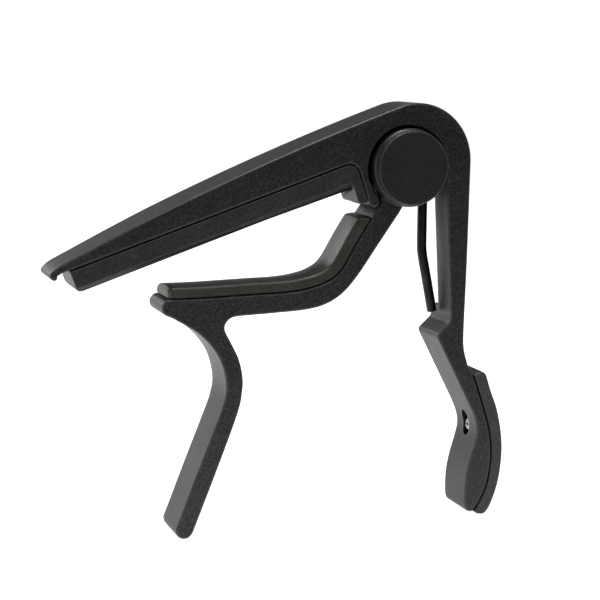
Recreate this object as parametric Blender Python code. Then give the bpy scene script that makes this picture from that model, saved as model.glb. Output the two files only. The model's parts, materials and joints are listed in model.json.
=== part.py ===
"""Trigger capo for a guitar neck.

Two castings turn about one cross pin. The frame carries the bar that presses the strings,
the round pivot housing, and the long grip. The jaw carries the curved saddle that bears on
the back of the neck and the finger lever. A torsion spring round the pin keeps them shut.

Shapes are drawn in millimetres about the pivot axis: x to the grip side, y away from the
front, z up. The finished capo stands on the tips of its lever and grip at z = 0.
"""
import math

import bmesh
import bpy
from mathutils import Vector

MM = 0.001
PIVOT = Vector((23.33, 0.0, 68.5)) * MM      # pivot axis above the middle of the footprint
GAP = 0.3                                    # clearance left between neighbouring pieces

# Castings
FRAME_DEPTH = (-5.6, 5.4)                    # front and back of the bar and housing
LEG_BACK = 4.2                               # back of the leg and grip
LEG_TAPER = (-8.0, -15.0)                    # heights between which the back steps in
JAW_DEPTH = (-5.4, 4.6)                      # front and back of the jaw
RIM = 0.4                                    # rounding of the casting edges
BOSS_R = 7.4                                 # round bosses either side of the pivot
BOSS_FACE = 6.5                              # outer face of each boss, from mid depth
POCKET = (-0.3, -0.1, 8.0)                   # pivot housing bore: centre x, z and radius
HUB = (1.6, 1.05, 11.0)                      # outside of the housing: centre x, z and radius
EAR_FRONT = -4.2                             # inner face of the jaw's front ear
EAR_EDGE = 0.8                               # rounding of the front ear's outer edge
EAR_REAR = (3.3, 4.6)                        # jaw's rear ear
PLATE = (4.9, 5.2)                           # frame's back plate, inside and outside the rim
CROTCH_R = 8.3                               # clearance cylinder between the jaw's ears

# String bar and its pad
BAR_ANGLE = math.radians(19.55)              # slope of the face the pad sits on
BAR_CORNER = (-10.7, 1.4)                    # where the pad face meets the stop tab
BAR_LENGTH = 58.2                            # pad face, from that corner to the bar tip
FRET_END = 57.0                              # end of the pad at the bar tip
FRET_PAD = 4.5                               # pad thickness under the bar
FRET_PAD_TAB = 2.1                           # pad thickness along the stop tab
FRET_CHAMFER = 1.05                          # along the pad's two lower edges
FRET_FOOT = 8.0                              # end of the pad's foot, below the pad face
FOOT_RELIEF = (2.4, 1.5)                     # depth and thickness cut off the foot's back edge
CORNER_R = 2.2

# Neck pad
NECK_PAD = 2.4                               # height of its middle above the saddle
NECK_FALL = (0.15, 0.45)                     # fall of its top to the front and back edges
NECK_EDGE = (0.8, 1.5)                       # rounding of its front and back edges
NECK_CORNER = 1.1                            # rounding of the four upright corners
NECK_STOP = 1.45                             # bare saddle above the pad

# Pivot
PIN_R = 2.4
BORE_R = 2.7
SINK_R = 4.4                                 # counterbore of each boss
HEAD_R = 4.1
CAP_R = 7.0
CAP_THICK = 0.9

# Torsion spring
WIRE_R = 0.95
COIL_R = 6.0
COIL_REAR = 2.02                             # depth of the coil end that feeds the frame leg
COIL_PITCH = 1.96
COIL_TURN = 360.0 * 2 + 200.0                # from the frame leg round to the jaw leg
JAW_LEG = 8.6                                # straight wire from the coil into the jaw

# Screw that holds the grip cover
SCREW_AT = (-0.35, -51.3)                    # depth and height
SCREW_SLOT = (1.4, 2.6)                      # half width and half height of its recess
SCREW_RISE = 0.4                             # middle of the recess above the screw
SCREW_HOLE = 1.1


# Outlines ---------------------------------------------------------------------------------

def arc(cx, cz, radius, start, end, steps):
    """Points on a circle from one angle to another, in degrees."""
    points = []
    for i in range(steps + 1):
        turn = math.radians(start + (end - start) * i / steps)
        points.append((cx + radius * math.cos(turn), cz + radius * math.sin(turn)))
    return points


def bow(p, q, rise, steps):
    """A shallow arc from p to q that rises to the left of the chord."""
    points = []
    dx = q[0] - p[0]
    dz = q[1] - p[1]
    span = math.hypot(dx, dz)
    for i in range(steps + 1):
        t = i / steps
        lift = 4.0 * rise * t * (1.0 - t) / span
        points.append((p[0] + dx * t - dz * lift, p[1] + dz * t + dx * lift))
    return points


def spline(knots, steps):
    """A smooth curve through every knot."""
    first = (2 * knots[0][0] - knots[1][0], 2 * knots[0][1] - knots[1][1])
    last = (2 * knots[-1][0] - knots[-2][0], 2 * knots[-1][1] - knots[-2][1])
    chain = [first] + list(knots) + [last]
    points = []
    for k in range(1, len(chain) - 2):
        a, b, c, d = chain[k - 1:k + 3]
        for i in range(steps):
            t = i / steps
            point = []
            for m in (0, 1):
                bend = 2 * a[m] - 5 * b[m] + 4 * c[m] - d[m]
                twist = 3 * b[m] - a[m] - 3 * c[m] + d[m]
                point.append(0.5 * (2 * b[m] + (c[m] - a[m]) * t + bend * t * t + twist * t ** 3))
            points.append(tuple(point))
    points.append(tuple(knots[-1]))
    return points


def shifted(path, distance):
    """The path moved sideways, to the left of its direction."""
    points = []
    for i, (x, z) in enumerate(path):
        ahead = path[min(i + 1, len(path) - 1)]
        behind = path[max(i - 1, 0)]
        dx = ahead[0] - behind[0]
        dz = ahead[1] - behind[1]
        size = math.hypot(dx, dz)
        points.append((x - dz / size * distance, z + dx / size * distance))
    return points


def at_length(path, distance):
    """The point a given distance along a path, and the direction to the left of it there."""
    for p, q in zip(path, path[1:]):
        step = math.dist(p, q)
        if distance <= step or q == path[-1]:
            t = distance / step
            point = (p[0] + (q[0] - p[0]) * t, p[1] + (q[1] - p[1]) * t)
            return point, ((p[1] - q[1]) / step, (q[0] - p[0]) / step)
        distance -= step


def rounding(distance, radius):
    """How far a rounded edge falls back at a distance from where it ends."""
    short = max(radius - distance, 0.0)
    return radius - math.sqrt(radius * radius - short * short)


def bar_point(along, drop):
    """A point measured from the bar corner: back along the bar, and square below it."""
    x = BAR_CORNER[0] - along * math.cos(BAR_ANGLE) + drop * math.sin(BAR_ANGLE)
    z = BAR_CORNER[1] - along * math.sin(BAR_ANGLE) - drop * math.cos(BAR_ANGLE)
    return (x, z)


def bar_corner(radius):
    """The rounded inside corner between the bar and the stop tab, from tab to bar."""
    cx, cz = bar_point(CORNER_R, CORNER_R)
    tilt = math.degrees(BAR_ANGLE)
    return arc(cx, cz, radius, tilt, tilt + 90.0, 6)


# Solids -----------------------------------------------------------------------------------

def surface(name, colour, roughness, metallic=0.0):
    """A plain surface finish."""
    finish = bpy.data.materials.new(name)
    finish.use_nodes = True
    shader = finish.node_tree.nodes["Principled BSDF"]
    shader.inputs["Base Color"].default_value = (*colour, 1.0)
    shader.inputs["Roughness"].default_value = roughness
    shader.inputs["Metallic"].default_value = metallic
    return finish


def place(name, mesh, finish=None):
    """Adds a mesh drawn about the pivot as an object whose origin is on the pivot axis."""
    body = bpy.data.objects.new(name, mesh)
    bpy.context.scene.collection.objects.link(body)
    body.location = PIVOT
    if finish is not None:
        mesh.materials.append(finish)
    return body


def finish_mesh(work, name):
    """Closes a bmesh drawn in millimetres into a mesh in metres."""
    bmesh.ops.recalc_face_normals(work, faces=work.faces)
    bmesh.ops.scale(work, vec=(MM, MM, MM), verts=work.verts)
    mesh = bpy.data.meshes.new(name)
    work.to_mesh(mesh)
    work.free()
    return mesh


def smooth(body, angle=28.0):
    """Shades the round stretches smooth and keeps the corners crisp."""
    body.data.shade_smooth()
    body.data.set_sharp_from_angle(angle=math.radians(angle))


def loft(work, loops):
    """Skins closed loops of points in order and caps both ends."""
    rings = [[work.verts.new(point) for point in loop] for loop in loops]
    count = len(rings[0])
    for near, far in zip(rings, rings[1:]):
        for i in range(count):
            j = (i + 1) % count
            work.faces.new((near[i], near[j], far[j], far[i]))
    work.faces.new(rings[0])
    work.faces.new(rings[-1])
    return rings


def solid(name, loops, finish=None):
    """A solid skinned over closed loops of points."""
    work = bmesh.new()
    loft(work, loops)
    return place(name, finish_mesh(work, name), finish)


def prism(name, outline, near, far, finish=None, edge=0.0):
    """An outline in x and z given depth, with both rims rounded."""
    work = bmesh.new()
    rings = loft(work, [[(x, y, z) for x, z in outline] for y in (near, far)])
    if edge > 0.0:
        rims = []
        for ring in rings:
            for vert, following in zip(ring, ring[1:] + ring[:1]):
                rims.append(work.edges.get((vert, following)))
        bmesh.ops.bevel(work, geom=rims, offset=edge, segments=2, profile=0.5,
                        affect="EDGES", clamp_overlap=True)
    return place(name, finish_mesh(work, name), finish)


def along_x(name, section, stations, finish=None):
    """A section of depth and height on the screw's line, scaled and set at each station of x."""
    loops = []
    for x, scale in stations:
        loops.append([(x, SCREW_AT[0] + y * scale, SCREW_AT[1] + z * scale) for y, z in section])
    return solid(name, loops, finish)


def turned(name, profile, finish=None, steps=48):
    """A closed profile of radius and depth turned about the pivot axis."""
    work = bmesh.new()
    hollow = min(radius for radius, depth in profile) > 0.0
    rings = []
    for i in range(steps):
        turn = 2 * math.pi * i / steps
        ring = []
        for radius, depth in profile:
            ring.append(work.verts.new((radius * math.cos(turn), depth, radius * math.sin(turn))))
        rings.append(ring)
    count = len(profile)
    last = count if hollow else count - 1
    for i in range(steps):
        a = rings[i]
        b = rings[(i + 1) % steps]
        for k in range(last):
            m = (k + 1) % count
            work.faces.new((a[k], a[m], b[m], b[k]))
    if not hollow:
        bmesh.ops.remove_doubles(work, verts=work.verts, dist=1e-6)
    return place(name, finish_mesh(work, name), finish)


def circle(radius, steps):
    """Points round a whole circle about the pivot axis."""
    return arc(0.0, 0.0, radius, 0.0, 360.0 * (steps - 1) / steps, steps - 1)


def drum(name, radius, near, far, steps=64):
    """A plain cylinder about the pivot axis."""
    return prism(name, circle(radius, steps), near, far)


def swept(name, path, radius, finish, sides=12):
    """Round wire along a path of points, square cut at both ends."""
    loops = []
    across = Vector((0.0, 1.0, 0.0))
    for i, point in enumerate(path):
        ahead = path[min(i + 1, len(path) - 1)]
        behind = path[max(i - 1, 0)]
        along = (ahead - behind).normalized()
        across = (across - along * across.dot(along)).normalized()
        third = along.cross(across)
        loop = []
        for k in range(sides):
            turn = 2 * math.pi * k / sides
            loop.append(point + radius * (math.cos(turn) * across + math.sin(turn) * third))
        loops.append(loop)
    return solid(name, loops, finish)


def combine(body, tools):
    """Adds or cuts each tool solid in turn, then removes the tools."""
    for operation, tool in tools:
        step = body.modifiers.new(operation.lower(), "BOOLEAN")
        step.operation = operation
        step.solver = "EXACT"
        step.object = tool
    bpy.context.view_layer.update()
    shaped = body.evaluated_get(bpy.context.evaluated_depsgraph_get())
    mesh = bpy.data.meshes.new_from_object(shaped)
    body.modifiers.clear()
    body.data = mesh
    mesh.name = body.name
    work = bmesh.new()
    work.from_mesh(mesh)
    bmesh.ops.remove_doubles(work, verts=work.verts, dist=1e-6)
    work.to_mesh(mesh)
    work.free()
    for operation, tool in tools:
        bpy.data.objects.remove(tool, do_unlink=True)
    return body


# Shared lines of the castings -------------------------------------------------------------

def grip_seam():
    """The line between the grip casting and its cover, from top to bottom."""
    return spline([(14.5, -40.5), (16.4, -45.8), (18.25, -51.7), (18.8, -56.6),
                   (18.2, -61.9), (16.7, -65.6), (15.2, -67.75)], 5)


def saddle_seam():
    """The line between the jaw and its neck pad, from the saddle tip up to the pivot."""
    return spline([(-46.4, -23.55), (-40.0, -23.5), (-30.0, -23.15), (-24.0, -22.95),
                   (-19.8, -22.4), (-16.2, -21.3), (-13.2, -19.1), (-10.0, -13.8),
                   (-7.5, -9.8), (-6.25, -7.95)], 4)


def neck_section(inset, drop):
    """Depth and height above the saddle of points round the neck pad."""
    near = JAW_DEPTH[0] + 0.05 + inset
    far = JAW_DEPTH[1] - 0.05 - inset
    top = NECK_PAD - drop
    near_r, far_r = [min(radius, top - fall - GAP - 0.05)
                     for radius, fall in zip(NECK_EDGE, NECK_FALL)]
    near_edge = arc(near + near_r, top - NECK_FALL[0] - near_r, near_r, 180.0, 90.0, 3)
    far_edge = arc(far - far_r, top - NECK_FALL[1] - far_r, far_r, 90.0, 0.0, 4)
    return [(far, GAP), (near, GAP)] + near_edge + [((near + far) / 2, top)] + far_edge


def jaw_leg():
    """Both ends of the short spring leg, which leaves the coil at a tangent."""
    angle = math.radians(COIL_TURN)
    depth = COIL_REAR - COIL_PITCH * COIL_TURN / 360.0
    start = Vector((COIL_R * math.cos(angle), depth, COIL_R * math.sin(angle)))
    along = Vector((-math.sin(angle), 0.0, math.cos(angle)))
    return start, start + along * JAW_LEG


# Pieces -----------------------------------------------------------------------------------

def step_in_back(mesh):
    """Thins the leg and grip from the back, with a short slope below the housing."""
    work = bmesh.new()
    work.from_mesh(mesh)
    for height in LEG_TAPER:
        geometry = list(work.verts) + list(work.edges) + list(work.faces)
        bmesh.ops.bisect_plane(work, geom=geometry, dist=1e-7,
                               plane_co=(0.0, 0.0, height * MM), plane_no=(0.0, 0.0, 1.0))
    high, low = LEG_TAPER
    fall = (FRAME_DEPTH[1] - LEG_BACK) * MM
    for vert in work.verts:
        if vert.co.y > 0.0:
            share = (high - vert.co.z / MM) / (high - low)
            vert.co.y -= fall * min(max(share, 0.0), 1.0)
    work.to_mesh(mesh)
    work.free()


def make_frame(finish):
    """String bar, pivot housing, leg and grip in one casting."""
    hub_x, hub_z, hub_r = HUB
    pocket_x, pocket_z, pocket_r = POCKET
    tip = spline([(-66.5, -18.6), (-66.65, -19.25), (-67.1, -19.45), (-67.65, -19.2),
                  (-67.95, -18.6), (-67.6, -17.95), (-66.9, -17.3), (-66.0, -16.7)], 2)
    top = bow((-66.0, -16.7), (-2.07, 11.42), 1.1, 14)
    hub = arc(hub_x, hub_z, hub_r, 109.5, 0.0, 16)
    leg = spline([(12.55, -8.0), (12.45, -20.0), (12.25, -31.0), (12.4, -35.0),
                  (13.3, -38.3)], 4)
    seam = grip_seam()
    inner = spline([(14.7, -67.75), (13.9, -67.3), (13.5, -65.8), (13.5, -62.0),
                    (14.1, -58.3), (15.2, -54.4), (15.7, -51.9), (15.3, -49.4),
                    (14.1, -46.7), (11.9, -42.5)], 3)
    ledge = [(7.15, -33.5), (6.8, -32.85), (6.72, -32.45), (6.85, -32.05), (7.2, -31.65),
             (8.8, -30.2), (9.15, -29.8), (9.3, -29.3), (9.35, -28.6)]
    pocket = arc(pocket_x, pocket_z, pocket_r, 0.0, 222.0, 28)
    tab = arc(-6.95, -6.35, 1.05, 10.0, -160.0, 6)
    bar = [bar_point(BAR_LENGTH, 0.0)]
    outline = (tip + top[1:] + hub[1:] + leg + seam + inner + ledge + [(7.75, -4.0)]
               + pocket + tab + bar_corner(CORNER_R) + bar)
    frame = prism("frame", outline, *FRAME_DEPTH, finish, RIM)
    step_in_back(frame.data)

    plate = prism("plate", arc(pocket_x, pocket_z, pocket_r + 0.6, -20.0, 212.0, 28)
                  + arc(0.0, 0.0, pocket_r - 0.15, 222.0, 330.0, 14), *PLATE)
    boss = turned("boss", [(0.0, PLATE[0] + 0.1), (BOSS_R, PLATE[0] + 0.1),
                           (BOSS_R, BOSS_FACE - 0.3), (BOSS_R - 0.3, BOSS_FACE),
                           (0.0, BOSS_FACE)])
    bore = drum("bore", BORE_R, 0.0, 9.0, steps=48)
    sink = drum("sink", SINK_R, BOSS_FACE - 0.75, 9.0, steps=48)
    channel = prism("channel", [(4.0, -6.0), (4.0, -27.4), (11.1, -27.4), (11.1, -6.0)], 0.4, 9.0)
    half_width, half_height = SCREW_SLOT
    straight = half_height - half_width
    oval = (arc(0.0, SCREW_RISE + straight, half_width, 0.0, 180.0, 8)
            + arc(0.0, SCREW_RISE - straight, half_width, 180.0, 360.0, 8))
    recess = along_x("recess", oval, [(8.0, 1.0), (16.9, 1.0)])
    hole = along_x("hole", circle(SCREW_HOLE, 24), [(16.0, 1.0), (22.0, 1.0)])
    combine(frame, [("UNION", plate), ("UNION", boss),
                    ("DIFFERENCE", bore), ("DIFFERENCE", sink), ("DIFFERENCE", channel),
                    ("DIFFERENCE", recess), ("DIFFERENCE", hole)])
    smooth(frame)
    return frame


def make_jaw(finish):
    """Saddle, finger lever and the two ears that turn on the pin."""
    saddle = saddle_seam()
    root = [(-5.35, -6.6), (-5.2, -5.4), (-0.9, -5.4), (-1.1, -7.4)]
    outer = spline([(-1.75, -8.5), (-5.7, -14.2), (-9.75, -20.05), (-12.7, -23.35),
                    (-16.0, -25.35), (-20.1, -26.3), (-27.0, -26.75), (-33.0, -27.05),
                    (-34.6, -27.4), (-35.55, -28.35), (-35.7, -29.6), (-34.65, -31.7),
                    (-33.05, -34.9), (-32.25, -38.2), (-32.25, -41.0), (-33.15, -45.4),
                    (-37.35, -56.7), (-41.6, -67.45)], 4)
    tip = arc(-43.2, -66.85, 1.65, -24.0, -200.0, 10)
    inner = spline([(-44.0, -64.4), (-40.8, -56.1), (-37.5, -47.75), (-35.9, -43.4),
                    (-35.4, -39.9), (-36.3, -35.8), (-38.1, -32.7), (-40.8, -29.95),
                    (-45.2, -27.2), (-46.9, -26.4), (-47.55, -25.6), (-47.55, -24.6),
                    (-47.0, -23.85)], 4)
    jaw = prism("jaw", saddle + root + outer + tip + inner, *JAW_DEPTH, finish, RIM)

    crotch = drum("crotch", CROTCH_R, EAR_FRONT, EAR_REAR[0])
    front_ear = turned("front_ear", [(0.0, EAR_FRONT - 0.05), (BOSS_R, EAR_FRONT - 0.05),
                                     (BOSS_R, EAR_EDGE - BOSS_FACE),
                                     (BOSS_R - 0.29 * EAR_EDGE, 0.29 * EAR_EDGE - BOSS_FACE),
                                     (BOSS_R - EAR_EDGE, -BOSS_FACE), (0.0, -BOSS_FACE)])
    rear_ear = drum("rear_ear", BOSS_R, EAR_REAR[0] + 0.05, EAR_REAR[1] - 0.05)
    bore = drum("bore", BORE_R, -9.0, 9.0, steps=48)
    sink = drum("sink", SINK_R, -9.0, 1.15 - BOSS_FACE, steps=48)
    start, end = jaw_leg()
    along = (end - start).normalized()
    across = Vector((-along.z, 0.0, along.x)) * (WIRE_R + GAP)
    reach = end + along * 0.5
    corners = [reach + across, reach - across, start - across, start + across]
    notch = prism("notch", [(corner.x, corner.z) for corner in corners],
                  EAR_FRONT + 0.1, start.y + WIRE_R + GAP)
    combine(jaw, [("DIFFERENCE", crotch), ("DIFFERENCE", notch),
                  ("UNION", front_ear), ("UNION", rear_ear),
                  ("DIFFERENCE", bore), ("DIFFERENCE", sink)])
    smooth(jaw)
    return jaw


def along_bar(name, section, start, end):
    """A section of depth and drop drawn out along the bar."""
    loops = []
    for along in (start, end):
        loop = []
        for y, drop in section:
            x, z = bar_point(along, drop)
            loop.append((x, y, z))
        loops.append(loop)
    return solid(name, loops)


def make_fret_pad(finish):
    """The strip under the bar, turned down along the stop tab."""
    far_end = [bar_point(FRET_END, GAP), bar_point(FRET_END, FRET_PAD - 1.0),
               bar_point(FRET_END - 0.3, FRET_PAD - 0.3), bar_point(FRET_END - 1.0, FRET_PAD)]
    inner = bar_point(FRET_PAD_TAB, FRET_PAD)
    foot = [bar_point(FRET_PAD_TAB, FRET_FOOT - 0.6), bar_point(FRET_PAD_TAB - 0.5, FRET_FOOT),
            bar_point(GAP, FRET_FOOT + 0.2)]
    near = FRAME_DEPTH[0] + 0.05
    far = FRAME_DEPTH[1] - 0.05
    pad = prism("fret_pad", bar_corner(CORNER_R - GAP) + far_end + [inner] + foot, near, far,
                finish)
    cutters = []
    for edge, side in ((near, -1.0), (far, 1.0)):
        section = [(edge - side * (FRET_CHAMFER + 0.5), FRET_PAD + 0.5),
                   (edge + side, FRET_PAD + 0.5),
                   (edge + side, FRET_PAD - FRET_CHAMFER - 1.0)]
        wedge = along_bar("wedge", section, FRET_PAD_TAB, BAR_LENGTH + 4.0)
        cutters.append(("DIFFERENCE", wedge))
    depth, thickness = FOOT_RELIEF
    relief = []
    for drop in (FRET_PAD, FRET_FOOT + 2.0):
        loop = []
        for along, y in ((FRET_PAD_TAB, far - depth), (FRET_PAD_TAB - thickness, far),
                         (FRET_PAD_TAB - thickness, far + 1.0), (FRET_PAD_TAB + 1.0, far + 1.0),
                         (FRET_PAD_TAB + 1.0, far - depth)):
            x, z = bar_point(along, drop)
            loop.append((x, y, z))
        relief.append(loop)
    cutters.append(("DIFFERENCE", solid("relief", relief)))
    combine(pad, cutters)
    smooth(pad)
    return pad


def make_neck_pad(finish):
    """The cushion in the saddle, with round edges and corners and a level upper end."""
    seam = saddle_seam()
    span = sum(math.dist(p, q) for p, q in zip(seam, seam[1:])) - NECK_STOP
    stations = [0.0, 0.12, 0.4, 0.75, NECK_CORNER]
    stations += [span - distance for distance in reversed(stations)]
    for i in range(1, 28):
        stations.append(NECK_CORNER + (span - 2 * NECK_CORNER) * i / 28)
    loops = []
    for distance in sorted(stations):
        (x, z), (left_x, left_z) = at_length(seam, distance)
        to_end = span - distance
        level = max(1.0 - to_end / 2.5, 0.0)
        left_x += (-1.15 - left_x) * level
        left_z -= left_z * level
        nearest = min(distance, to_end)
        inset = rounding(nearest, NECK_CORNER)
        drop = rounding(nearest, NECK_EDGE[0])
        loops.append([(x + left_x * rise, y, z + left_z * rise)
                      for y, rise in neck_section(inset, drop)])
    pad = solid("neck_pad", loops, finish)
    smooth(pad, 40.0)
    return pad


def make_cover(finish):
    """The soft cover on the outside of the grip."""
    seam = shifted(grip_seam(), GAP)[:-1]
    outer = spline([(16.2, -68.25), (17.3, -68.45), (18.2, -68.05), (19.35, -66.2),
                    (20.65, -62.2), (21.25, -57.5), (21.1, -53.0), (20.0, -47.7),
                    (18.35, -43.4), (17.55, -41.0), (17.1, -40.2), (16.4, -39.75)], 3)
    cover = prism("grip_cover", seam + outer, FRAME_DEPTH[0] + 0.1, LEG_BACK - 0.1, finish, 0.5)
    hole = along_x("hole", circle(SCREW_HOLE, 24), [(16.0, 1.0), (19.8, 1.0)])
    combine(cover, [("DIFFERENCE", hole)])
    smooth(cover)
    return cover


def make_cover_screw(finish):
    """Cross-headed screw from the inside of the grip into its cover."""
    stations = [(19.7, 0.8), (17.0, 0.8), (16.55, 1.35), (16.2, 1.35), (15.95, 1.1)]
    screw = along_x("cover_screw", circle(1.0, 24), stations, finish)
    slots = []
    for half_y, half_z in ((0.16, 0.8), (0.8, 0.16)):
        bar = [(-half_y, -half_z), (half_y, -half_z), (half_y, half_z), (-half_y, half_z)]
        slots.append(("DIFFERENCE", along_x("slot", bar, [(15.0, 1.0), (16.35, 1.0)])))
    combine(screw, slots)
    smooth(screw)
    return screw


def make_spring(finish):
    """Torsion spring: a long leg down to the frame, a coil, a short leg into the jaw."""
    path = [Vector((8.05, 0.6, -28.5)), Vector((7.0, 0.9, -22.9)), Vector((6.03, 1.25, -17.8)),
            Vector((5.9, 1.4, -16.6)), Vector((5.86, 1.5, -15.4)), Vector((5.97, 1.95, -6.0))]
    steps = 58
    for i in range(steps + 1):
        angle = math.radians(COIL_TURN * i / steps)
        depth = COIL_REAR - COIL_PITCH * COIL_TURN / 360.0 * i / steps
        path.append(Vector((COIL_R * math.cos(angle), depth, COIL_R * math.sin(angle))))
    path.append(jaw_leg()[1])
    spring = swept("torsion_spring", path, WIRE_R, finish, 10)
    smooth(spring, 40.0)
    return spring


def make_pivot(finishes):
    """Pin, spool, clip and the two caps."""
    pieces = []
    head_low = -BOSS_FACE + 1.1 - GAP
    pin = [(0.0, 7.0), (2.1, 7.0), (PIN_R, 6.8), (PIN_R, 6.6), (1.95, 6.6), (1.95, 5.95),
           (PIN_R, 5.95), (PIN_R, head_low), (HEAD_R, head_low), (HEAD_R, head_low - 0.75),
           (HEAD_R - 0.3, head_low - 1.0), (0.0, head_low - 1.0)]
    pieces.append(turned("pivot_pin", pin, finishes["steel"], 40))
    spool = [(BORE_R, -3.9), (4.7, -3.9), (4.7, 3.0), (BORE_R, 3.0)]
    pieces.append(turned("spring_spool", spool, finishes["nylon"], 40))
    clip_outline = (arc(0.0, 0.0, 4.0, -50.0, 230.0, 28) + arc(0.0, 0.0, 2.25, 230.0, -50.0, 24))
    pieces.append(prism("retaining_clip", clip_outline, 6.06, 6.5, finishes["clip"]))
    inner = BOSS_FACE + GAP
    outer = inner + CAP_THICK
    for name, side in (("front_cap", -1.0), ("rear_cap", 1.0)):
        cap = [(0.0, inner + 0.5), (5.2, inner + 0.5), (5.2, inner), (CAP_R, inner),
               (CAP_R, outer - 0.35), (CAP_R - 0.1, outer - 0.1), (CAP_R - 0.35, outer),
               (0.0, outer)]
        pieces.append(turned(name, [(r, side * depth) for r, depth in cap], finishes["cap"], 72))
    for piece in pieces:
        smooth(piece)
    return pieces


def build():
    """Clears the scene and makes every piece."""
    for old in list(bpy.data.objects):
        bpy.data.objects.remove(old, do_unlink=True)
    casting = (0.028, 0.028, 0.030)
    make_frame(surface("frame_coat", casting, 0.48))
    make_jaw(surface("jaw_coat", casting, 0.48))
    make_fret_pad(surface("fret_rubber", (0.055, 0.055, 0.055), 0.62))
    make_neck_pad(surface("neck_rubber", (0.085, 0.085, 0.07), 0.42))
    make_cover(surface("cover_rubber", (0.085, 0.085, 0.085), 0.6))
    make_cover_screw(surface("screw_zinc", (0.6, 0.6, 0.6), 0.25, 1.0))
    make_spring(surface("spring_steel", (0.02, 0.02, 0.022), 0.35, 0.6))
    make_pivot({
        "steel": surface("pin_steel", (0.5, 0.5, 0.5), 0.3, 1.0),
        "nylon": surface("spool_nylon", (0.7, 0.68, 0.62), 0.5),
        "clip": surface("clip_steel", (0.35, 0.35, 0.36), 0.35, 1.0),
        "cap": surface("cap_plastic", (0.028, 0.028, 0.030), 0.45),
    })


build()
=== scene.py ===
import json
import math

import bmesh
import bpy
from mathutils import Matrix, Vector


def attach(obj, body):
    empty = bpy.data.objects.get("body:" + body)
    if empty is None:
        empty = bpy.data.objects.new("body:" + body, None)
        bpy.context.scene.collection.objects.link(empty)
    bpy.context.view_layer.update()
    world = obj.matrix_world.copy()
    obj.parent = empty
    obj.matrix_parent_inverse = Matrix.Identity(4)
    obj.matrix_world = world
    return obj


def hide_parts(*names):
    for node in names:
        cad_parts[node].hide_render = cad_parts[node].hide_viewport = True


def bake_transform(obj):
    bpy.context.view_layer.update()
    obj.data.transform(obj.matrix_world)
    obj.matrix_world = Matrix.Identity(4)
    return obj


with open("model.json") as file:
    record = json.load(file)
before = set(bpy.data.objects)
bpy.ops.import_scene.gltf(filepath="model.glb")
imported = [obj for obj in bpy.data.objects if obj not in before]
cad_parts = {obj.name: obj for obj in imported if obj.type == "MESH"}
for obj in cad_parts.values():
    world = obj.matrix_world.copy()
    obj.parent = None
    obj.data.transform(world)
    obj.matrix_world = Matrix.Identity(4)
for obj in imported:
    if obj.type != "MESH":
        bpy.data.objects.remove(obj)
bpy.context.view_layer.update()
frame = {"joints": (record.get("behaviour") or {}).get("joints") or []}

# Shapes are drawn in millimetres about the pivot axis, as the CAD is: x to the grip side,
# y away from the front, z up.
MM = 0.001
PIVOT = Vector(frame["joints"][0]["pos_m"])
GAP = 0.3
SKIM = 0.05                          # how far a face stays inside the one that it lies along

# Castings
FRAME_DEPTH = (-5.6, 5.4)
LEG_BACK = 4.2
LEG_TAPER = (-8.0, -15.0)
JAW_DEPTH = (-5.4, 4.6)
RIM = 0.4
BOSS_R = 7.4
BOSS_FACE = 6.5
BOSS_EDGE = 0.35
THROUGH = 9.0                        # depth past every face, for cuts that go right through
POCKET = (-0.3, -0.1, 8.0)
HUB = (1.6, 1.05, 11.0)
EAR_FRONT = -4.2
EAR_EDGE = 0.8
EAR_REAR = (3.3, 4.6)
PLATE = (4.9, 5.2)
CROTCH_R = 8.3

# String bar and its pad
BAR_ANGLE = math.radians(19.55)
BAR_CORNER = (-10.7, 1.4)
BAR_LENGTH = 58.2
FRET_END = 57.0
FRET_PAD = 4.5
FRET_PAD_TAB = 2.1
FRET_CHAMFER = 1.05
FRET_FOOT = 8.0
FOOT_RELIEF = (2.4, 1.5)
CORNER_R = 2.2

# Neck pad
NECK_PAD = 2.4
NECK_FALL = (0.15, 0.45)
NECK_EDGE = (0.8, 1.5)
NECK_CORNER = 1.1
NECK_STOP = 1.45

# Pivot
PIN_R = 2.4
BORE_R = 2.7
SINK_R = 4.4
HEAD_R = 4.1
CAP_R = 7.0
CAP_THICK = 0.9

# Torsion spring
WIRE_R = 0.95
COIL_R = 6.0
COIL_REAR = 2.02
COIL_PITCH = 1.96
COIL_TURN = 920.0
JAW_LEG = 8.6

# Screw that holds the grip cover, and its oval recess
SCREW_AT = (-0.35, -51.3)
SCREW_SLOT = (1.4, 2.6)
SCREW_RISE = 0.4
SCREW_HOLE = 1.1
SCREW_HEAD_R = 1.35
SCREW_HEAD_X = 16.55

# Camera, in millimetres from the pivot
EYE = Vector((-117.48, -282.78, 20.23))
EYE_RIGHT = Vector((0.94552, -0.32519, 0.01568))
EYE_UP = Vector((0.03421, 0.14713, 0.98853))
EYE_LENS = 96.0
SENSOR = 36.0

# Light: how much of white comes from overhead, and from the floor's own glow
OVERHEAD = 0.06
FLOOR_GLOW = 0.95
FLOOR_REACH = 4.0
LAMP_TARGET = Vector((0.0, 0.0, 0.045))
LAMPS = (                            # name, place, side of the square and power
    ("over", (0.0, -0.06, 0.80), 0.22, 6.0),
    ("left_rear", (-0.42, 0.62, 0.38), 0.35, 2.2),
    ("left", (-0.80, -0.26, 0.06), 0.26, 1.4),
    ("right", (0.55, -0.1, 0.30), 0.3, 0.3),
    ("front", (0.30, -0.80, 0.75), 0.5, 1.6),
)


# Outlines ---------------------------------------------------------------------------------

def arc(cx, cz, radius, start, end, steps):
    """Points on a circle from one angle to another, in degrees."""
    points = []
    for i in range(steps + 1):
        turn = math.radians(start + (end - start) * i / steps)
        points.append((cx + radius * math.cos(turn), cz + radius * math.sin(turn)))
    return points


def circle(radius, steps):
    """Points round a whole circle about the pivot axis."""
    return arc(0.0, 0.0, radius, 0.0, 360.0 * (steps - 1) / steps, steps - 1)


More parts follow.
